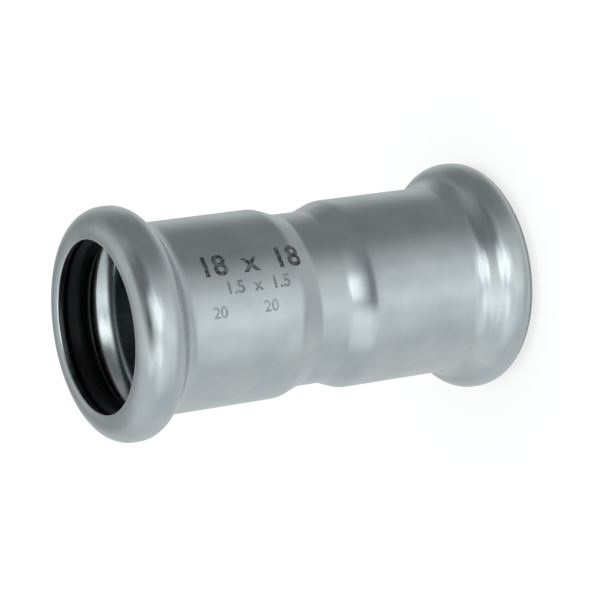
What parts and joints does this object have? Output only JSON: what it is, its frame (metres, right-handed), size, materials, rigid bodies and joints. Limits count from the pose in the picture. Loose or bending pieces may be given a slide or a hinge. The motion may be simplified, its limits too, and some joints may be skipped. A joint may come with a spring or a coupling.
{
  "type": "press fit pipe coupling",
  "caption": "Straight press fit pipe coupling: a formed steel sleeve with a necked tube stop in the middle and a rolled bead holding a rubber seal ring at each end.",
  "frame": {"origin": "centre of the base, on the axis, in the plane that the lower bead rests on", "axes": "+Z along the axis, from the lower end to the upper end; the ends are alike"},
  "size_m": [0.0262, 0.0262, 0.05],
  "materials": {
    "stainless_steel": "satin, pickled after forming",
    "seal_rubber": "smooth moulded rubber with a thin film of assembly grease"
  },
  "bodies": {
    "root": {"press_body": "stainless_steel", "top_seal_ring": "seal_rubber", "bottom_seal_ring": "seal_rubber"}
  },
  "joints": []
}
